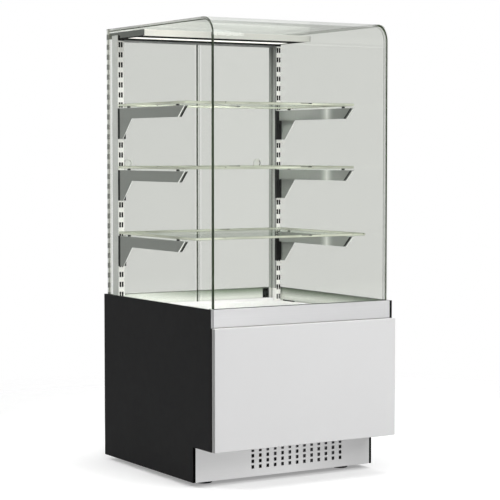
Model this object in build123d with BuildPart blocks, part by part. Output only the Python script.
from build123d import *
import os
from math import sin, cos, radians

os.makedirs("parts", exist_ok=True)

# Bakery display case: a free-standing cold-deck counter display with a glass upper part,
# three glass shelves, sliding rear doors and a condensing unit in the base.
# Frame: +Z up, front faces -Y, +X to the right when facing the front.
# Origin: on the floor, at the centre of the footprint. Millimetres.
# In every loop over sides, -1 is left and +1 is right.

# ---------------------------------------------------------------- shared dimensions
width = 600.0            # over the side panels
half = width / 2
front_y = -330.0         # front face of the front panel
back_y = 330.0           # rear edges of the side panels
base_top = 500.0         # top of the base above the floor
total_h = 1290.0         # top of the glass above the floor
foot_h = 14.0            # underside of the base above the floor
sheet = 1.2              # sheet metal thickness

panel_t = 8.0            # side panel thickness
panel_front_y = -311.0   # front edges of the side panels
inside_half = half - panel_t - 0.2   # half width available between the panels
toe_depth = 99.4         # toe recess depth
toe_top = 113.4          # toe recess top above the floor
kick_y = panel_front_y + toe_depth

bulkhead_y = -310.4      # front face of the front bulkhead
fascia_y = -310.9        # front face of the fascia
fascia_bottom = 450.4
service_y = 310.0        # front face of the rear service panel
rim_z = 499.4            # upper edge of the well liner
deck_z = 459.0           # upper face of the well floor
well_back_y = 301.0      # front face of the well's rear wall
pan_wall = 1.5           # base pan thickness
pan_z = foot_h + pan_wall            # upper face of the base pan
ring_z = 406.0           # underside of the inner frame's ring
foot_x, foot_front_y, foot_back_y = 230.0, -150.0, 268.0
riser_x, riser_y = -250.0, 240.0     # refrigerant riser through the insulation
gland_x, gland_z = -245.0, 75.0      # mains cable gland
ctrl_x, ctrl_z, ctrl_w, ctrl_h = 150.0, 335.0, 150.0, 60.0   # control cut-out
# service panel screws, (x, z)
screw_pts = [(-270, 30), (270, 30), (-270, 215), (270, 215), (-270, 396), (270, 396)]
screw_bore_r = 2.45      # screw holes in the base pan and the inner frame

post_w, post_d, post_wall = 21.5, 36.0, 1.5
post_x = 274.75          # post centre, left and right
post_front_y = 264.0
post_bottom, post_top = 459.3, 1269.0
slot_w, slot_h, slot_pitch, slot_rows = 4.2, 14.5, 29.6, 27
slot_x = {-1: -275.2, 1: 277.4}   # middle of each post's pair of slot columns
slot_gap = 7.7           # pitch of the two slot columns
slot_first_top = 1249.1  # top of the highest slots

glass_t = 8.0            # bent front and top pane
bend_r = 52.0            # outside radius of the bend
front_glass_y = -304.0   # front face of the bent pane
pane_half = 285.6        # half width of the bent pane
glass_bottom = base_top + 1.2

header_z = 1260.0        # underside of the header soffit
header_top = 1277.5
header_front_y, header_back_y = 96.0, 317.0
header_half = 284.0

# Shelf levels from the top down: each bracket rises a little above the highest slot
# its hooks use.
levels = ("top", "middle", "bottom")
bracket_slots = (7, 13, 20)
bracket_rise = (12.1, 7.1, 19.6)
bracket_tops = [slot_first_top - row * slot_pitch + rise
                for row, rise in zip(bracket_slots, bracket_rise)]
bracket_h = 90.0         # bracket height at the post
bracket_rear_y = 254.0
bracket_w = 10.5
bracket_x_out = 284.0    # outer face of the outer cheek
bracket_mid_x = bracket_x_out - bracket_w / 2
pad_h = 5.0              # buffer between bracket and shelf


# ---------------------------------------------------------------- helpers
def at_x(x):
    """Sketch plane across the width: local x is +Y, local y is +Z, extrudes to +X."""
    return Plane.YZ.offset(x)


def at_y(y):
    """Sketch plane across the depth: local x is +X, local y is +Z, extrudes to -Y."""
    return Plane.XZ.offset(-y)


def at_z(z):
    """Horizontal sketch plane."""
    return Plane.XY.offset(z)


def mid(start, end):
    return (start + end) / 2


def pair(x, y):
    """The same point on the left and on the right."""
    return [(-x, y), (x, y)]


def save(builder, name):
    builder.part.label = name
    export_step(builder.part, f"parts/{name}.step")


# ---------------------------------------------------------------- side panels
# outline with the toe recess at the lower front, (y, z)
panel_outline = [
    (kick_y, foot_h), (back_y, foot_h), (back_y, base_top),
    (panel_front_y, base_top), (panel_front_y, toe_top), (kick_y, toe_top),
]


def side_panel(name, side):
    with BuildPart() as panel:
        with BuildSketch(at_x(side * half)):
            with BuildLine():
                Polyline(*panel_outline, close=True)
            make_face()
        extrude(amount=-side * panel_t)
        outer_face = panel.faces().sort_by(Axis.X)[0 if side < 0 else -1]
        fillet(outer_face.edges(), 0.8)
    save(panel, name)


side_panel("left_side_panel", -1)
side_panel("right_side_panel", 1)

# ---------------------------------------------------------------- base pan
# folded floor pan with upturned edges and four welded foot nuts
pan_front, pan_back = kick_y + 1.4, service_y - 1.0
pan_depth = pan_back - pan_front
pan_edge_h = 20
nut_h = 10
foot_points = pair(foot_x, foot_front_y) + pair(foot_x, foot_back_y)

with BuildPart() as base_pan:
    with BuildSketch(at_z(foot_h)):
        with Locations((0, mid(pan_front, pan_back))):
            Rectangle(2 * inside_half, pan_depth)
    extrude(amount=pan_edge_h)
    with BuildSketch(at_z(pan_z)):
        with Locations((0, mid(pan_front, pan_back))):
            Rectangle(2 * inside_half - 2 * pan_wall, pan_depth - 2 * pan_wall)
    extrude(amount=30, mode=Mode.SUBTRACT)
    with BuildSketch(at_z(pan_z)):
        with Locations(*foot_points):
            RegularPolygon(radius=10.5, side_count=6)
    extrude(amount=nut_h)
    with Locations(*[(x, y, pan_z + nut_h) for x, y in foot_points]):
        Hole(radius=5.05)
    # the two lowest screws pass through the rear edge
    with BuildSketch(at_y(service_y)):
        with Locations(*screw_pts[:2]):
            Circle(screw_bore_r)
    extrude(amount=6, mode=Mode.SUBTRACT)
save(base_pan, "base_pan")

# ---------------------------------------------------------------- inner frame
# four angle uprights and a flat ring that carries the insulated well
angle_x = 289.8          # outer faces of the uprights
angle_leg, angle_t = 25, 2
angle_gap = 4.5          # from the kick plate and service panel faces
angle_bottom = foot_h + 1.6

with BuildPart() as inner_frame:
    for side in (-1, 1):
        for y, inward in ((kick_y + angle_gap, 1), (service_y - angle_gap, -1)):
            with BuildSketch(at_z(angle_bottom)):
                with BuildLine():
                    x = side * angle_x
                    x_leg, x_web = x - side * angle_leg, x - side * angle_t
                    y_leg, y_web = y + inward * angle_leg, y + inward * angle_t
                    Polyline((x, y), (x_leg, y), (x_leg, y_web),
                             (x_web, y_web), (x_web, y_leg), (x, y_leg), close=True)
                make_face()
            extrude(amount=ring_z - angle_bottom)
    with BuildSketch(at_z(ring_z)):
        Rectangle(2 * 291.2, 2 * 305)
        Rectangle(2 * 264, 2 * 276, mode=Mode.SUBTRACT)
    extrude(amount=2)
    with BuildSketch(at_y(service_y)):
        with Locations(*screw_pts):
            Circle(screw_bore_r)
    extrude(amount=12, mode=Mode.SUBTRACT)
save(inner_frame, "inner_frame")

# ---------------------------------------------------------------- front bulkhead
# folded sheet behind the front panel; closes the base above the toe recess
bulkhead_z0, bulkhead_z1 = toe_top + 0.6, 449.8
bulkhead_low_y, bulkhead_high_y = -295, -307    # rear ends of the lower and upper folds

with BuildPart() as front_bulkhead:
    with BuildSketch(at_x(-inside_half)):
        with BuildLine():
            Polyline((bulkhead_low_y, bulkhead_z0), (bulkhead_y, bulkhead_z0),
                     (bulkhead_y, bulkhead_z1), (bulkhead_high_y, bulkhead_z1),
                     (bulkhead_high_y, bulkhead_z1 - sheet),
                     (bulkhead_y + sheet, bulkhead_z1 - sheet),
                     (bulkhead_y + sheet, bulkhead_z0 + sheet),
                     (bulkhead_low_y, bulkhead_z0 + sheet), close=True)
        make_face()
    extrude(amount=2 * inside_half)
save(front_bulkhead, "front_bulkhead")

# ---------------------------------------------------------------- kick plate
# vented plate folded forwards at the top to close the roof of the toe recess
roof_z = toe_top - 1.4   # underside of the fold
vent_cols, vent_rows = 13, 4
vent_pitch_x, vent_pitch_z = 24.7, 15.75
vent_w, vent_h = 9.2, 10.0
vent_x, vent_z = 41.2, 64.7     # middle of the vent field

with BuildPart() as kick_plate:
    with BuildSketch(at_x(-inside_half)):
        with BuildLine():
            Polyline((kick_y, foot_h), (kick_y, roof_z), (bulkhead_y, roof_z),
                     (bulkhead_y, roof_z + sheet), (kick_y + sheet, roof_z + sheet),
                     (kick_y + sheet, foot_h), close=True)
        make_face()
    extrude(amount=2 * inside_half)
    with BuildSketch(at_y(kick_y - 1)):
        with Locations((vent_x, vent_z)):
            with GridLocations(vent_pitch_x, vent_pitch_z, vent_cols, vent_rows):
                RectangleRounded(vent_w, vent_h, 0.9)
    extrude(amount=-4, mode=Mode.SUBTRACT)
save(kick_plate, "kick_plate")

# ---------------------------------------------------------------- front panel
# shallow folded tray, open at the back
front_bottom, front_top = 113.8, 450.2
front_w, front_h = 597.6, front_top - front_bottom
front_return = 15.5      # depth of the folded edges

with BuildPart() as front_panel:
    with BuildSketch(at_y(front_y + front_return)):
        with Locations((0, mid(front_bottom, front_top))):
            Rectangle(front_w, front_h)
    extrude(amount=front_return)
    fillet(front_panel.faces().sort_by(Axis.Y)[0].edges(), 1.6)
    fillet(front_panel.edges().filter_by(Axis.Y), 1.0)
    with BuildSketch(at_y(front_y + sheet)):
        with Locations((0, mid(front_bottom, front_top))):
            Rectangle(front_w - 2 * sheet, front_h - 2 * sheet)
    extrude(amount=-front_return, mode=Mode.SUBTRACT)
save(front_panel, "front_panel")

# ---------------------------------------------------------------- fascia
# stainless band across the front of the well, with folded top and bottom edges
fascia_low_y, fascia_high_y = -300.5, -294.5    # rear ends of the folds

with BuildPart() as fascia:
    with BuildSketch(at_x(-inside_half)):
        with BuildLine():
            Polyline((fascia_low_y, fascia_bottom), (fascia_y, fascia_bottom),
                     (fascia_y, base_top), (fascia_high_y, base_top),
                     (fascia_high_y, base_top - sheet), (fascia_y + sheet, base_top - sheet),
                     (fascia_y + sheet, fascia_bottom + sheet),
                     (fascia_low_y, fascia_bottom + sheet), close=True)
        make_face()
    extrude(amount=2 * inside_half)
    fillet(fascia.edges().filter_by(Axis.X).group_by(Axis.Y)[0], 1.0)
save(fascia, "fascia")

# narrow stainless strip that caps the left panel's front edge beside the fascia
with BuildPart() as left_end_strip:
    with BuildSketch(at_y(panel_front_y - 0.1)):
        with Locations((-half + panel_t / 2, mid(fascia_bottom, base_top))):
            Rectangle(panel_t - 0.2, base_top - fascia_bottom)
    extrude(amount=1.2)
    fillet(left_end_strip.faces().sort_by(Axis.Y)[0].edges(), 0.3)
save(left_end_strip, "left_end_strip")

# ---------------------------------------------------------------- the well
# stainless tub: chilled floor, side walls, front wall, rear wall and rear sill
liner_t = 1.0
liner_half = half - panel_t - 0.1
liner_front_y = -300.0
liner_back_y = well_back_y + liner_t
liner_bottom = deck_z - liner_t
step_z = rim_z - liner_t     # front wall top and underside of the sill
step_y = -294.3              # front end of the side walls' upper edge
sill_back_y = 326.0

with BuildPart() as well_liner:
    with BuildSketch(at_z(liner_bottom)):
        with Locations((0, mid(liner_front_y, liner_back_y))):
            Rectangle(2 * liner_half, liner_back_y - liner_front_y)
    extrude(amount=liner_t)
    for side in (-1, 1):
        with BuildSketch(at_x(side * liner_half)):
            with BuildLine():
                Polyline((liner_front_y, liner_bottom), (liner_back_y, liner_bottom),
                         (liner_back_y, rim_z), (step_y, rim_z), (step_y, step_z),
                         (liner_front_y, step_z), close=True)
            make_face()
        extrude(amount=-side * liner_t)
    # front wall
    with BuildSketch(at_x(-liner_half)):
        with BuildLine():
            Polyline((liner_front_y, liner_bottom), (liner_front_y + liner_t, liner_bottom),
                     (liner_front_y + liner_t, step_z), (liner_front_y, step_z), close=True)
        make_face()
    extrude(amount=2 * liner_half)
    # rear wall and sill
    with BuildSketch(at_x(-pane_half)):
        with BuildLine():
            Polyline((well_back_y, liner_bottom), (liner_back_y, liner_bottom),
                     (liner_back_y, step_z), (sill_back_y, step_z), (sill_back_y, rim_z),
                     (well_back_y, rim_z), close=True)
        make_face()
    extrude(amount=2 * pane_half)
    # cable port in the rear wall behind the right-hand post
    with BuildSketch(at_y(well_back_y - 1)):
        with Locations((259, 480.5)):
            RectangleRounded(34, 33, 1.0)
    extrude(amount=-4, mode=Mode.SUBTRACT)
save(well_liner, "well_liner")

# foam slab under the chilled floor, bored for the refrigerant riser
foam_z, foam_t = ring_z + 2.2, 38
with BuildPart() as well_insulation:
    with BuildSketch(at_z(foam_z)):
        with Locations((0, 1)):
            Rectangle(2 * 284, 596)
    extrude(amount=foam_t)
    with Locations((riser_x, riser_y, foam_z + foam_t)):
        Hole(radius=14)
save(well_insulation, "well_insulation")

# serpentine cooling tube just under the chilled floor
coil_r, coil_wall = 4.5, 0.8
coil_z = liner_bottom - 0.2 - coil_r
coil_rows, coil_pitch, coil_half = 9, 60.0, 225.0
coil_start_y = -(coil_rows - 1) * coil_pitch / 2

with BuildPart() as evaporator_coil:
    with BuildLine() as coil_path:
        for i in range(coil_rows):
            y = coil_start_y + i * coil_pitch
            heading = 1 if i % 2 == 0 else -1
            x_end = heading * coil_half
            Line((-x_end, y, coil_z), (x_end, y, coil_z))
            if i < coil_rows - 1:
                x_bend = heading * (coil_half + coil_pitch / 2)
                ThreePointArc((x_end, y, coil_z), (x_bend, y + coil_pitch / 2, coil_z),
                              (x_end, y + coil_pitch, coil_z))
    with BuildSketch(Plane(origin=(-coil_half, coil_start_y, coil_z), z_dir=(1, 0, 0))):
        Circle(coil_r)
        Circle(coil_r - coil_wall, mode=Mode.SUBTRACT)
    sweep(path=coil_path.wires()[0])
save(evaporator_coil, "evaporator_coil")

# ---------------------------------------------------------------- rear of the base
# folded rail under the rear sill
rail_bottom, rail_top = 452, 497.2
rail_back_y = 328.5
rail_low_y, rail_high_y = service_y + 1.6, 304   # front ends of the flanges

with BuildPart() as rear_rail:
    with BuildSketch(at_x(-inside_half)):
        with BuildLine():
            Polyline((rail_high_y, rail_top), (rail_back_y, rail_top),
                     (rail_back_y, rail_bottom), (rail_low_y, rail_bottom),
                     (rail_low_y, rail_bottom + sheet),
                     (rail_back_y - sheet, rail_bottom + sheet),
                     (rail_back_y - sheet, rail_top - sheet),
                     (rail_high_y, rail_top - sheet), close=True)
        make_face()
    extrude(amount=2 * inside_half)
    # trim beside the side panes, which reach down past the rail's upper flange
    for side in (-1, 1):
        with BuildSketch(at_z(480)):
            with Locations((side * 289, 314)):
                Rectangle(7.4, 21)
        extrude(amount=20, mode=Mode.SUBTRACT)
save(rear_rail, "rear_rail")

# removable service panel with air outlet slots, control cut-out and gland hole
service_z0, service_z1 = 18.0, 451.6
with BuildPart() as rear_service_panel:
    with BuildSketch(at_y(service_y)):
        with Locations((0, mid(service_z0, service_z1))):
            Rectangle(2 * inside_half - 1.0, service_z1 - service_z0)
        with Locations((ctrl_x, ctrl_z)):
            Rectangle(ctrl_w + 0.4, ctrl_h + 0.4, mode=Mode.SUBTRACT)
        with Locations((20, 190)):
            with GridLocations(62, 14, 5, 12):
                SlotOverall(50, 6, mode=Mode.SUBTRACT)
        with Locations(*screw_pts):
            Circle(2.6, mode=Mode.SUBTRACT)
        with Locations((gland_x, gland_z)):
            Circle(8.1, mode=Mode.SUBTRACT)
    extrude(amount=-sheet)
save(rear_service_panel, "rear_service_panel")

# domed heads with a cross recess
screw_seat_y = service_y + sheet + 0.05
screw_head_h = 2.6
with BuildPart() as service_panel_screws:
    with BuildSketch(at_y(screw_seat_y)):
        with Locations(*screw_pts):
            Circle(4.6)
    extrude(amount=-screw_head_h)
    head_faces = service_panel_screws.faces().filter_by(Axis.Y).group_by(Axis.Y)[-1]
    fillet(head_faces.edges(), 1.3)
    with BuildSketch(at_y(screw_seat_y + screw_head_h)):
        with Locations(*screw_pts):
            Rectangle(4.4, 0.9)
            Rectangle(0.9, 4.4)
    extrude(amount=1.3, mode=Mode.SUBTRACT)
    with BuildSketch(at_y(screw_seat_y)):
        with Locations(*screw_pts):
            Circle(2.4)
    extrude(amount=10 + sheet)
save(service_panel_screws, "service_panel_screws")

# ---------------------------------------------------------------- levelling feet
# half profile of pad, collar and stud, (radius, z)
foot_profile = [
    (0, 0), (21.5, 0), (23, 1.5), (23, 5.5), (20.5, 7.5), (9, 8.2),
    (9, 9.0), (5, 9.0), (5, 34.0), (4.2, 34.8), (0, 34.8),
]


def levelling_foot(name, x, y):
    with BuildPart() as foot:
        with BuildSketch(at_y(y)):
            with BuildLine():
                Polyline(*[(x + radius, z) for radius, z in foot_profile], close=True)
            make_face()
        revolve(axis=Axis((x, y, 0), (0, 0, 1)))
        # hexagon seat
        with BuildSketch(at_z(8.4)):
            with Locations((x, y)):
                RegularPolygon(radius=9.8, side_count=6)
                Circle(4.0, mode=Mode.SUBTRACT)
        extrude(amount=5.0)
    save(foot, name)


levelling_foot("front_left_foot", -foot_x, foot_front_y)
levelling_foot("front_right_foot", foot_x, foot_front_y)
levelling_foot("rear_left_foot", -foot_x, foot_back_y)
levelling_foot("rear_right_foot", foot_x, foot_back_y)

# ---------------------------------------------------------------- slotted posts
slot_mid_z = slot_first_top - slot_h / 2 - (slot_rows - 1) * slot_pitch / 2


def slotted_post(name, side):
    with BuildPart() as post:
        with BuildSketch(at_z(post_bottom)):
            with Locations((side * post_x, post_front_y + post_d / 2)):
                RectangleRounded(post_w, post_d, 1.2)
                Rectangle(post_w - 2 * post_wall, post_d - 2 * post_wall, mode=Mode.SUBTRACT)
        extrude(amount=post_top - post_bottom)
        with BuildSketch(at_y(post_front_y - 1)):
            with Locations((slot_x[side], slot_mid_z)):
                with GridLocations(slot_gap, slot_pitch, 2, slot_rows):
                    Rectangle(slot_w, slot_h)
        extrude(amount=-(post_wall + 1.5), mode=Mode.SUBTRACT)
    save(post, name)


slotted_post("left_post", -1)
slotted_post("right_post", 1)

# ---------------------------------------------------------------- shelf brackets
arm_h = 31.0                             # arm height
arm_tip_y, arm_tip_low_y = -140.0, -105.0
gusset_y, gusset_low_y = 176.5, 234.0    # front ends of the gusset's sloping edge
bracket_t = 1.5


def shelf_bracket(name, side, top):
    """Folded stainless arm: outer cheek with gusset, inner cheek, top web."""
    with BuildPart() as bracket:
        with BuildSketch(at_x(side * bracket_x_out)):
            with BuildLine():
                Polyline((bracket_rear_y, top), (arm_tip_y, top), (arm_tip_low_y, top - arm_h),
                         (gusset_y, top - arm_h), (gusset_low_y, top - bracket_h),
                         (bracket_rear_y, top - bracket_h), close=True)
            make_face()
        extrude(amount=-side * bracket_t)
        with BuildSketch(at_x(side * (bracket_x_out - bracket_w + bracket_t))):
            with BuildLine():
                Polyline((bracket_rear_y, top), (arm_tip_y, top), (arm_tip_low_y, top - arm_h),
                         (bracket_rear_y, top - arm_h), close=True)
            make_face()
        extrude(amount=-side * bracket_t)
        with BuildSketch(at_z(top)):
            with Locations((side * bracket_mid_x, mid(bracket_rear_y, arm_tip_y))):
                Rectangle(bracket_w, bracket_rear_y - arm_tip_y)
        extrude(amount=-bracket_t)
        fillet(bracket.edges().filter_by(Axis.Y).group_by(Axis.Z)[-1], 1.0)
    save(bracket, name)


for level, top in zip(levels, bracket_tops):
    shelf_bracket(f"left_{level}_bracket", -1, top)
    shelf_bracket(f"right_{level}_bracket", 1, top)

# black hook plates that carry the arms: a channel against the post, two pairs of
# hooks through the slots and a window where a free slot lies between them
plate_t = 1.8                            # channel sides
plate_front, plate_back = bracket_rear_y + 0.1, post_front_y - 0.1
web_front = post_front_y - 2.1
hook_w = 3.2
# hook outline, (y from the post's front, z from the slot's top)
hook_outline = [(-1.5, -1.5), (5.5, -1.5), (5.5, -13.8), (1.7, -13.8), (1.7, -10.5), (-1.5, -10.5)]

with BuildPart() as hook_plates:
    for top, rise in zip(bracket_tops, bracket_rise):
        top_slot = top - rise
        # the lower hooks skip a slot where the plate reaches that far down
        lower_hook = 2 if rise + 2 * slot_pitch + slot_h < bracket_h else 1
        for side in (-1, 1):
            x_in, x_out = side * (post_x - post_w / 2), side * (post_x + post_w / 2)
            x_in_web, x_out_web = x_in + side * plate_t, x_out - side * plate_t
            with BuildSketch(at_z(top - bracket_h)):
                with BuildLine():
                    Polyline((x_in, plate_front), (x_in, plate_back), (x_out, plate_back),
                             (x_out, plate_front), (x_out_web, plate_front),
                             (x_out_web, web_front), (x_in_web, web_front),
                             (x_in_web, plate_front), close=True)
                make_face()
            extrude(amount=bracket_h)
            if lower_hook == 2:
                with BuildSketch(at_y(post_front_y - 3)):
                    with Locations((slot_x[side], top_slot - slot_pitch - slot_h / 2)):
                        with GridLocations(slot_gap, slot_pitch, 2, 1):
                            Rectangle(slot_w, slot_h)
                extrude(amount=-4, mode=Mode.SUBTRACT)
            for row in (0, lower_hook):
                slot_top = top_slot - row * slot_pitch
                for dx in (-slot_gap / 2, slot_gap / 2):
                    with BuildSketch(at_x(slot_x[side] + dx - hook_w / 2)):
                        with BuildLine():
                            Polyline(*[(post_front_y + y, slot_top + z)
                                       for y, z in hook_outline], close=True)
                        make_face()
                    extrude(amount=hook_w)
save(hook_plates, "hook_plates")

# ---------------------------------------------------------------- glass shelves
shelf_t = 8.0
shelf_half = 285.3
shelf_back_y = 262.0
shelf_fronts = (-141.0, -141.0, -200.0)


def glass_shelf(name, bracket_top, shelf_front_y):
    with BuildPart() as shelf:
        with BuildSketch(at_z(bracket_top + pad_h)):
            with Locations((0, mid(shelf_back_y, shelf_front_y))):
                RectangleRounded(2 * shelf_half, shelf_back_y - shelf_front_y, 4)
        extrude(amount=shelf_t)
        chamfer(shelf.faces().sort_by(Axis.Z)[-1].edges(), 0.7)
        chamfer(shelf.faces().sort_by(Axis.Z)[0].edges(), 0.7)
    save(shelf, name)


for level, top, shelf_front in zip(levels, bracket_tops, shelf_fronts):
    glass_shelf(f"{level}_shelf", top, shelf_front)

# soft buffers between bracket arms and shelves
with BuildPart() as shelf_pads:
    for top in bracket_tops:
        with BuildSketch(at_z(top)):
            with Locations(*pair(bracket_mid_x, -92), *pair(bracket_mid_x, 205)):
                Circle(4.8)
        extrude(amount=pad_h)
save(shelf_pads, "shelf_pads")

# ---------------------------------------------------------------- fixed glass
glass_back_y = 325.0
side_glass_t = 5.0
side_glass_x = 285.8     # inner face of the side panes
side_glass_bottom = 462.2
side_glass_front_y, side_glass_back_y = -285, 324   # front edge is inside the base


def bend_points(radius):
    """Start, middle and end (y, z) of the bend, from the front up to the top."""
    bend_y, bend_z = front_glass_y + bend_r, total_h - bend_r
    diagonal = radius * cos(radians(45))
    return [(bend_y - radius, bend_z), (bend_y - diagonal, bend_z + diagonal),
            (bend_y, bend_z + radius)]


outer_bend = bend_points(bend_r)
inner_bend = bend_points(bend_r - glass_t)

# one bent pane forms the upright front, the bend and the top
with BuildPart() as curved_front_glass:
    with BuildSketch(at_x(-pane_half)):
        with BuildLine():
            Line((front_glass_y, glass_bottom), outer_bend[0])
            ThreePointArc(*outer_bend)
            Polyline(outer_bend[2], (glass_back_y, total_h),
                     (glass_back_y, total_h - glass_t), inner_bend[2])
            ThreePointArc(*reversed(inner_bend))
            Polyline(inner_bend[0], (front_glass_y + glass_t, glass_bottom),
                     (front_glass_y, glass_bottom))
        make_face()
    extrude(amount=2 * pane_half)
save(curved_front_glass, "curved_front_glass")


def side_pane(name, side):
    """Upper front corner rounded to follow the bend; reaches down into the base."""
    with BuildPart() as pane:
        with BuildSketch(at_x(side * side_glass_x)):
            with BuildLine():
                Polyline((side_glass_front_y, side_glass_bottom),
                         (side_glass_back_y, side_glass_bottom),
                         (side_glass_back_y, total_h), outer_bend[2])
                ThreePointArc(*reversed(outer_bend))
                Polyline(outer_bend[0], (front_glass_y, glass_bottom),
                         (side_glass_front_y, glass_bottom),
                         (side_glass_front_y, side_glass_bottom))
            make_face()
        extrude(amount=side * side_glass_t)
    save(pane, name)


side_pane("left_side_glass", -1)
side_pane("right_side_glass", 1)

# seats for the glass: strip under the front pane, blocks under the side panes
with BuildPart() as glass_seats:
    with BuildSketch(at_z(base_top)):
        with Locations((0, front_glass_y + glass_t / 2)):
            Rectangle(2 * pane_half, glass_t)
    extrude(amount=1.1)
    with BuildSketch(at_z(deck_z)):
        with Locations(*pair(side_glass_x + side_glass_t / 2, -220),
                       *pair(side_glass_x + side_glass_t / 2, 220)):
            Rectangle(4.6, 60)
    extrude(amount=3.1)
save(glass_seats, "glass_seats")

# ---------------------------------------------------------------- light header
# cover: a sheet folded down at front and back, with a lower flange at the front
flange_back_y, flange_z = header_front_y + 8, header_z - 1.0
with BuildPart() as header_cover:
    with BuildSketch(at_x(-header_half)):
        with BuildLine():
            Polyline((header_front_y, flange_z), (header_front_y, header_top),
                     (header_back_y, header_top), (header_back_y, header_z),
                     (header_back_y - sheet, header_z),
                     (header_back_y - sheet, header_top - sheet),
                     (header_front_y + sheet, header_top - sheet),
                     (header_front_y + sheet, flange_z + sheet),
                     (flange_back_y, flange_z + sheet), (flange_back_y, flange_z), close=True)
        make_face()
    extrude(amount=2 * header_half)
    front_edges = header_cover.edges().filter_by(Axis.X).group_by(Axis.Y)[0]
    fillet(front_edges.sort_by(Axis.Z)[-1], 0.8)
save(header_cover, "header_cover")

led_y0, led_y1, led_half = 188.0, 240.0, 262.0   # light opening in the soffit
led_mid_y, led_depth = mid(led_y0, led_y1), led_y1 - led_y0
soffit_front, soffit_back = header_front_y + 8.3, header_back_y - sheet - 0.2
lip_y, lip_t = 262.4, 1.6
lip_bottom, lip_post_bottom = 1256.5, 1254.0
lip_post_w = 20.4        # width of the lip's deeper parts and of the tabs

with BuildPart() as header_soffit:
    with BuildSketch(at_z(header_z)):
        with Locations((0, mid(soffit_front, soffit_back))):
            Rectangle(2 * header_half, soffit_back - soffit_front)
        with Locations((0, led_mid_y)):
            Rectangle(2 * led_half, led_depth, mode=Mode.SUBTRACT)
        # the posts pass through the soffit
        with Locations(*pair(post_x + 2.0, post_front_y + post_d / 2)):
            Rectangle(27.0, 37.2, mode=Mode.SUBTRACT)
    extrude(amount=sheet)
    # down-turned lip that hides the door track from the front, deeper at the posts
    with BuildSketch(at_z(lip_bottom)):
        with Locations((0, lip_y)):
            Rectangle(2 * header_half, lip_t)
    extrude(amount=header_z - lip_bottom)
    with BuildSketch(at_z(lip_post_bottom)):
        with Locations(*pair(post_x - 1.0, lip_y)):
            Rectangle(lip_post_w, lip_t)
    extrude(amount=header_z - lip_post_bottom)
    # up-turned tabs in front of the posts' top ends
    with BuildSketch(at_z(header_z)):
        with Locations(*pair(post_x - 1.0, lip_y)):
            Rectangle(lip_post_w, lip_t)
    extrude(amount=post_top - header_z + 0.6)
save(header_soffit, "header_soffit")

# end caps, notched from below around the post tops
notch_front, notch_back = 247.0, post_front_y + post_d + 0.5
notch_z = post_top + 0.4
with BuildPart() as header_end_caps:
    for side in (-1, 1):
        with BuildSketch(at_x(side * (header_half + 0.1))):
            with BuildLine():
                Polyline((header_front_y, header_z), (notch_front, header_z),
                         (notch_front, notch_z), (notch_back, notch_z), (notch_back, header_z),
                         (header_back_y, header_z), (header_back_y, header_top),
                         (header_front_y, header_top), close=True)
            make_face()
        extrude(amount=side * 1.4)
save(header_end_caps, "header_end_caps")

# carrier board with two rows of LEDs on its underside
led_board_z = 1272.0
with BuildPart() as led_board:
    with BuildSketch(at_z(led_board_z)):
        with Locations((0, led_mid_y)):
            Rectangle(2 * led_half - 30, led_depth - 12)
    extrude(amount=2.0)
    with BuildSketch(at_z(led_board_z)):
        with Locations((0, led_mid_y)):
            with GridLocations(16.5, 26, 30, 2):
                Rectangle(5, 5)
    extrude(amount=-1.4)
save(led_board, "led_board")

# frosted cover in the opening, with a wider flange above the soffit
with BuildPart() as light_diffuser:
    with BuildSketch(at_z(header_z - 0.4)):
        with Locations((0, led_mid_y)):
            Rectangle(2 * led_half - 0.6, led_depth - 0.6)
    extrude(amount=1.8)
    with BuildSketch(at_z(header_z + sheet + 0.1)):
        with Locations((0, led_mid_y)):
            Rectangle(2 * led_half + 8, led_depth + 8)
    extrude(amount=1.6)
save(light_diffuser, "light_diffuser")

# ---------------------------------------------------------------- sliding doors
door_t = 5.0
door_bottom, door_top = 461.8, 1257.4
door_w = 271.3
door_right_y = 277.0     # front face of the right-hand door
door_left_y = 287.0      # front face of the left-hand door
door_edge = 263.3        # outer edges of the closed doors
pull_z = 891.5
pull_left_x, pull_right_x = -238.0, 209.0
track_half = 263.6
track_front, track_back = 274.6, 295.4


def door_track(name, closed_z, open_z, groove_z, groove_h):
    """Two-groove track: front groove for the right door, rear one for the left."""
    with BuildPart() as track:
        with BuildSketch(at_x(-track_half)):
            with BuildLine():
                Polyline((track_front, open_z), (track_front, closed_z),
                         (track_back, closed_z), (track_back, open_z), close=True)
            make_face()
            for door_y in (door_right_y, door_left_y):
                with Locations((door_y + door_t / 2, groove_z)):
                    Rectangle(door_t + 1.2, groove_h, mode=Mode.SUBTRACT)
        extrude(amount=2 * track_half)
    save(track, name)


door_track("top_door_track", closed_z=1259.8, open_z=1251.5, groove_z=1254.8, groove_h=7.2)
door_track("bottom_door_track", closed_z=deck_z + 0.1, open_z=467.5, groove_z=466.0, groove_h=9.2)


def sliding_door(name, left_x, door_y, pull_x):
    with BuildPart() as door:
        with BuildSketch(at_y(door_y)):
            with Locations((left_x + door_w / 2, mid(door_bottom, door_top))):
                Rectangle(door_w, door_top - door_bottom)
            with Locations((pull_x, pull_z)):
                Circle(11.0, mode=Mode.SUBTRACT)
        extrude(amount=-door_t)
        chamfer(door.edges().filter_by(Axis.Z), 0.6)
    save(door, name)


sliding_door("left_door", -door_edge, door_left_y, pull_left_x)
sliding_door("right_door", door_edge - door_w, door_right_y, pull_right_x)

# half profile of a finger pull, (radius, y): the front part is measured from the
# door's front face, the back part from its rear face
pull_floor_front = (0, 1.2)
pull_front = [(8.0, 1.2), (9.4, -1.1), (13.0, -1.1), (13.6, -0.1), (10.9, -0.1)]
pull_back = [(10.9, 0.1), (13.6, 0.1), (13.0, 1.1), (9.4, 1.1)]
pull_floor_back = [(8.0, 2.6), (0, 2.6)]         # from the front face


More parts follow.
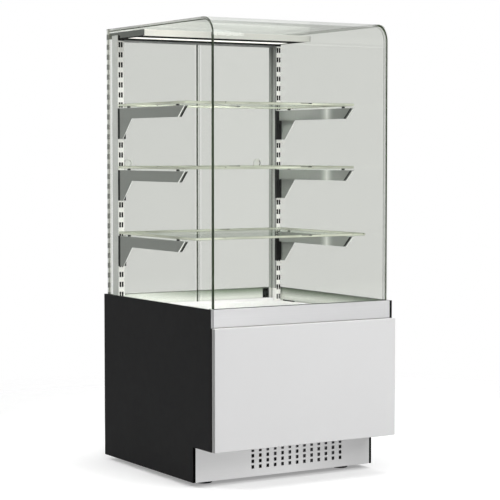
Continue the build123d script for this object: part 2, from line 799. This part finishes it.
def door_pull(name, pull_x, door_y):
    """Round recessed finger pull set through the door glass."""
    profile = [(pull_x + radius, door_y + y) for radius, y in [pull_floor_front] + pull_front]
    profile += [(pull_x + radius, door_y + door_t + y) for radius, y in pull_back]
    profile += [(pull_x + radius, door_y + y) for radius, y in pull_floor_back]
    with BuildPart() as pull:
        with BuildSketch(at_z(pull_z)):
            with BuildLine():
                Polyline(*profile, close=True)
            make_face()
        revolve(axis=Axis((pull_x, 0, pull_z), (0, 1, 0)))
    save(pull, name)


door_pull("left_door_pull", pull_left_x, door_left_y)
door_pull("right_door_pull", pull_right_x, door_right_y)

# ---------------------------------------------------------------- compressor
# hermetic compressor on its foot plate
comp_x, comp_y = -170.0, 120.0
with BuildPart() as compressor:
    with BuildSketch(at_z(pan_z + 0.2)):
        with Locations((comp_x, comp_y)):
            RectangleRounded(180, 120, 14)
            with Locations((-75, -45), (75, -45), (-75, 45), (75, 45)):
                Circle(5.2, mode=Mode.SUBTRACT)
    extrude(amount=3)
    with BuildSketch(at_z(pan_z + 3.2)):
        with Locations((comp_x, comp_y)):
            Ellipse(72, 58)
    extrude(amount=130)
    fillet(compressor.faces().sort_by(Axis.Z)[-1].edges(), 38)
    # rim around the shell
    with BuildSketch(at_z(pan_z + 78)):
        with Locations((comp_x, comp_y)):
            Ellipse(76, 62)
    extrude(amount=5)
    # box on the right side
    with BuildSketch(at_z(pan_z + 40)):
        with Locations((comp_x + 74, comp_y)):
            RectangleRounded(24, 52, 4)
    extrude(amount=58)
save(compressor, "compressor")

# ---------------------------------------------------------------- condenser
# finned block behind the vents, tubes through it with return bends
cond_x, cond_y, cond_w, cond_d = 80.0, -165.0, 260.0, 44.0
cond_z0, cond_h = pan_z + 6, 200.0
cond_mid_z = cond_z0 + cond_h / 2
cond_back = cond_y + cond_d / 2
tube_r, tube_rows, tube_pitch = 4.7, 8, 25.0
tube_low_z = cond_mid_z - (tube_rows - 1) * tube_pitch / 2
tube_top_z = tube_low_z + (tube_rows - 1) * tube_pitch
tube_left, tube_right = cond_x - cond_w / 2 - 4, cond_x + cond_w / 2 + 4

with BuildPart() as condenser_fins:
    with BuildSketch(at_z(cond_z0)):
        with Locations((cond_x, cond_y)):
            Rectangle(cond_w, cond_d)
    extrude(amount=cond_h)
    with BuildSketch(at_x(cond_x - cond_w / 2)):
        with Locations((cond_y, cond_mid_z)):
            with GridLocations(1, tube_pitch, 1, tube_rows):
                Circle(tube_r + 0.05)
    extrude(amount=cond_w, mode=Mode.SUBTRACT)
    # gaps between the fins, along the front and back faces
    with BuildSketch(at_z(cond_z0 + 4)):
        for y in (cond_y - cond_d / 2 + 6, cond_back - 6):
            with Locations((cond_x, y)):
                with GridLocations(8.4, 1, 30, 1):
                    Rectangle(6.6, 12.1)
    extrude(amount=cond_h - 8, mode=Mode.SUBTRACT)
save(condenser_fins, "condenser_fins")

with BuildPart() as condenser_coil:
    with BuildLine() as tube_path:
        for i in range(tube_rows):
            z = tube_low_z + i * tube_pitch
            start, end = (tube_left, tube_right) if i % 2 == 0 else (tube_right, tube_left)
            Line((start, cond_y, z), (end, cond_y, z))
            if i < tube_rows - 1:
                outward = tube_pitch / 2 if end == tube_right else -tube_pitch / 2
                ThreePointArc((end, cond_y, z), (end + outward, cond_y, z + tube_pitch / 2),
                              (end, cond_y, z + tube_pitch))
    with BuildSketch(Plane(origin=(tube_left, cond_y, tube_low_z), z_dir=(1, 0, 0))):
        Circle(tube_r)
    sweep(path=tube_path.wires()[0])
save(condenser_coil, "condenser_coil")

# ---------------------------------------------------------------- fan
fan_y = cond_back + 24
fan_r = 84.0
shaft_r, shaft_bore_r = 4.0, 4.05
cowl_t = 1.2

# cowl behind the condenser: a box open at the front with a collared rear opening
with BuildPart() as fan_cowl:
    with BuildSketch(at_y(cond_back + 0.4)):
        with Locations((cond_x, cond_mid_z)):
            Rectangle(cond_w, cond_h)
    extrude(amount=-34)
    with BuildSketch(at_y(cond_back + 0.4)):
        with Locations((cond_x, cond_mid_z)):
            Rectangle(cond_w - 2 * cowl_t, cond_h - 2 * cowl_t)
    extrude(amount=-(34 - cowl_t), mode=Mode.SUBTRACT)
    with BuildSketch(at_y(cond_back + 30)):
        with Locations((cond_x, cond_mid_z)):
            Circle(fan_r + 5)
    extrude(amount=-8, mode=Mode.SUBTRACT)
    with BuildSketch(at_y(cond_back + 33.0)):
        with Locations((cond_x, cond_mid_z)):
            Circle(fan_r + 5 + cowl_t)
            Circle(fan_r + 5, mode=Mode.SUBTRACT)
    extrude(amount=-9)
save(fan_cowl, "fan_cowl")

motor_y = cond_back + 56     # front face of the motor
strap_w, strap_t = 40, 2.5
with BuildPart() as fan_motor:
    with BuildSketch(at_y(motor_y)):
        with Locations((cond_x, cond_mid_z)):
            Circle(30)
    extrude(amount=-42)
    fillet(fan_motor.faces().sort_by(Axis.Y)[-1].edges(), 4)
    # shaft
    with BuildSketch(at_y(motor_y)):
        with Locations((cond_x, cond_mid_z)):
            Circle(shaft_r)
    extrude(amount=44)
    # upright strap and its foot on the pan
    with BuildSketch(at_y(cond_back + 70)):
        with Locations((cond_x, mid(cond_mid_z, pan_z))):
            Rectangle(strap_w, cond_mid_z - pan_z - 0.4)
    extrude(amount=-strap_t)
    with BuildSketch(at_z(pan_z + 0.2)):
        with Locations((cond_x, cond_back + 82)):
            Rectangle(strap_w, 24)
    extrude(amount=strap_t)
save(fan_motor, "fan_motor")

blade_count = 5
blade_start, blade_pitch = 10, 28        # degrees
# blade outline, (distance from the axis, distance along the chord)
blade_outline = [(20, -9), (45, -20), (76, -23), (81, 0), (76, 23), (45, 18), (20, 9)]
sin_pitch, cos_pitch = sin(radians(blade_pitch)), cos(radians(blade_pitch))

with BuildPart() as fan_blades:
    # hub
    with BuildSketch(at_y(fan_y - 10)):
        with Locations((cond_x, cond_mid_z)):
            Circle(24)
            Circle(shaft_bore_r, mode=Mode.SUBTRACT)
    extrude(amount=-22)
    for i in range(blade_count):
        turn = radians(360 / blade_count * i + blade_start)
        tilted = Plane(origin=(cond_x, fan_y + 1, cond_mid_z),
                       x_dir=(cos(turn), 0, sin(turn)),
                       z_dir=(-sin(turn) * sin_pitch, -cos_pitch, cos(turn) * sin_pitch))
        with BuildSketch(tilted):
            with BuildLine():
                Polyline(*blade_outline, close=True)
            make_face()
        extrude(amount=1.0, both=True)
    # clear the shaft bore again
    with BuildSketch(at_y(fan_y - 12)):
        with Locations((cond_x, cond_mid_z)):
            Circle(shaft_bore_r)
    extrude(amount=-30, mode=Mode.SUBTRACT)
save(fan_blades, "fan_blades")

# ---------------------------------------------------------------- refrigerant lines
# corner points (x, y, z) of each line
hot_route = [       # compressor to the condenser's top tube
    (-138, 55, 70), (-138, -60, 70), (-138, -60, tube_top_z), (-85, -60, tube_top_z),
    (-85, cond_y, tube_top_z), (tube_left - 0.3, cond_y, tube_top_z),
]
cold_route = [      # compressor up through the insulation
    (-250, 110, 110), (-262, 110, 110), (-262, riser_y, 110),
    (riser_x, riser_y, 110), (riser_x, riser_y, 445),
]
with BuildPart() as refrigerant_lines:
    for route, heading in ((hot_route, (0, -1, 0)), (cold_route, (-1, 0, 0))):
        with BuildLine() as line_path:
            Polyline(*route)
        with BuildSketch(Plane(origin=route[0], z_dir=heading)):
            Circle(4)
        sweep(path=line_path.wires()[0], transition=Transition.ROUND)
save(refrigerant_lines, "refrigerant_lines")

# ---------------------------------------------------------------- lamp driver
# on the base pan
driver_x, driver_y = 215, 150
with BuildPart() as led_driver:
    with BuildSketch(at_z(pan_z + 0.2)):
        with Locations((driver_x, driver_y)):
            RectangleRounded(50, 170, 3)
    extrude(amount=2)
    with BuildSketch(at_z(pan_z + 2.2)):
        with Locations((driver_x, driver_y)):
            RectangleRounded(46, 140, 3)
    extrude(amount=30)
    fillet(led_driver.faces().sort_by(Axis.Z)[-1].edges(), 2)
save(led_driver, "led_driver")

# ---------------------------------------------------------------- controls
bezel_y, bezel_t = service_y + sheet + 0.2, 2.8
face_y = bezel_y + bezel_t               # rear face of the bezel
box_depth = 40                           # in front of the service panel
power_x, lamp_x, knob_x = ctrl_x - 52, ctrl_x - 18, ctrl_x + 38
cap_w, cap_h = 14.0, 26.0                # rocker wells
bore_depth = 16

with BuildPart() as control_box:
    with BuildSketch(at_y(service_y - box_depth)):
        with Locations((ctrl_x, ctrl_z)):
            Rectangle(ctrl_w, ctrl_h)
    extrude(amount=-(bezel_y - service_y + box_depth))
    with BuildSketch(at_y(bezel_y)):
        with Locations((ctrl_x, ctrl_z)):
            RectangleRounded(ctrl_w + 14, ctrl_h + 14, 5)
    extrude(amount=-bezel_t)
    fillet(control_box.faces().sort_by(Axis.Y)[-1].edges(), 1.0)
    # rocker wells and the thermostat spindle bore
    with BuildSketch(at_y(face_y)):
        with Locations((power_x, ctrl_z), (lamp_x, ctrl_z)):
            Rectangle(cap_w, cap_h)
    extrude(amount=bore_depth, mode=Mode.SUBTRACT)
    with BuildSketch(at_y(face_y)):
        with Locations((knob_x, ctrl_z)):
            Circle(3.05)
    extrude(amount=bore_depth, mode=Mode.SUBTRACT)
    # hollow inside
    with BuildSketch(at_y(service_y - box_depth + 2)):
        with Locations((ctrl_x, ctrl_z)):
            Rectangle(ctrl_w - 4, ctrl_h - 4)
    extrude(amount=-20, mode=Mode.SUBTRACT)
save(control_box, "control_box")

# rocker caps: shallow V on the outside, tapered inside, tilted in the off position
rocker_tilt = radians(8)
rocker_pivot_y = face_y - 6.0
# outline before tilting, (y, z) from the pivot
rocker_outline = [
    (-1.5, -12.0), (7.6, -12.0), (5.8, 0), (7.6, 12.0), (-1.5, 12.0), (-6.0, 5.0), (-6.0, -5.0),
]


def tilt(y, z):
    """Turn a point about the rocker pivot."""
    return (rocker_pivot_y + y * cos(rocker_tilt) - z * sin(rocker_tilt),
            ctrl_z + y * sin(rocker_tilt) + z * cos(rocker_tilt))


def rocker_cap(name, rocker_x):
    with BuildPart() as rocker:
        with BuildSketch(at_x(rocker_x - cap_w / 2 + 0.4)):
            with BuildLine():
                Polyline(*[tilt(y, z) for y, z in rocker_outline], close=True)
            make_face()
        extrude(amount=cap_w - 0.8)
    save(rocker, name)


rocker_cap("power_switch", power_x)
rocker_cap("lamp_switch", lamp_x)

knob_y, knob_h = face_y + 0.3, 11
with BuildPart() as thermostat_knob:
    with BuildSketch(at_y(knob_y)):
        with Locations((knob_x, ctrl_z)):
            Circle(17)
    extrude(amount=-knob_h)
    fillet(thermostat_knob.faces().sort_by(Axis.Y)[-1].edges(), 1.6)
    # cut away both sides of the grip bar
    with BuildSketch(at_y(knob_y + 4)):
        with Locations((knob_x - 12.5, ctrl_z), (knob_x + 12.5, ctrl_z)):
            Rectangle(16, 40)
    extrude(amount=-12, mode=Mode.SUBTRACT)
    # pointer groove
    with BuildSketch(at_y(knob_y + knob_h + 0.1)):
        with Locations((knob_x, ctrl_z + 10)):
            Rectangle(1.4, 12)
    extrude(amount=1.0, mode=Mode.SUBTRACT)
    # spindle
    with BuildSketch(at_y(knob_y)):
        with Locations((knob_x, ctrl_z)):
            Circle(3.0)
    extrude(amount=12)
save(thermostat_knob, "thermostat_knob")

# ---------------------------------------------------------------- mains cable
# gland in the service panel, cable stowed in the rear recess, moulded plug
cable_y = 320.5
loop_r = 20                              # radius of the two turns
second_x = gland_x + 2 * loop_r
plug_x = second_x + 2 * loop_r
cable_high_z, cable_low_z = 300, 110     # where the straight runs end
plug_y = cable_y - 0.5
plug_z0, plug_z1, plug_z2 = 248, 262, 296    # bottoms of collar, body and pins

with BuildPart() as mains_cable:
    with BuildLine() as cord:
        Line((gland_x, 300, gland_z), (gland_x, 312.5, gland_z))
        ThreePointArc((gland_x, 312.5, gland_z), (gland_x, 318.16, 77.34),
                      (gland_x, cable_y, 83))
        Line((gland_x, cable_y, 83), (gland_x, cable_y, cable_high_z))
        ThreePointArc((gland_x, cable_y, cable_high_z),
                      (gland_x + loop_r, cable_y, cable_high_z + loop_r),
                      (second_x, cable_y, cable_high_z))
        Line((second_x, cable_y, cable_high_z), (second_x, cable_y, cable_low_z))
        ThreePointArc((second_x, cable_y, cable_low_z),
                      (second_x + loop_r, cable_y, cable_low_z - loop_r),
                      (plug_x, cable_y, cable_low_z))
        Line((plug_x, cable_y, cable_low_z), (plug_x, cable_y, 250))
    with BuildSketch(Plane(origin=(gland_x, 300, gland_z), z_dir=(0, 1, 0))):
        Circle(3.6)
    sweep(path=cord.wires()[0])
    # gland body and nut
    with BuildSketch(at_y(service_y - 8)):
        with Locations((gland_x, gland_z)):
            Circle(7.9)
    extrude(amount=-(8 + sheet + 0.3))
    with BuildSketch(at_y(service_y + sheet + 0.2)):
        with Locations((gland_x, gland_z)):
            RegularPolygon(radius=12, side_count=6)
    extrude(amount=-3.5)
    # moulded plug: collar, flat body and two pins pointing up
    with BuildSketch(at_z(plug_z0)):
        with Locations((plug_x, plug_y)):
            RectangleRounded(14, 12, 4)
    extrude(amount=plug_z1 - plug_z0)
    with BuildSketch(at_z(plug_z1)):
        with Locations((plug_x, plug_y)):
            RectangleRounded(38, 15.5, 6)
    extrude(amount=plug_z2 - plug_z1)
    with BuildSketch(at_z(plug_z2)):
        with Locations((plug_x - 9.5, plug_y), (plug_x + 9.5, plug_y)):
            Circle(2.4)
    extrude(amount=19)
save(mains_cable, "mains_cable")
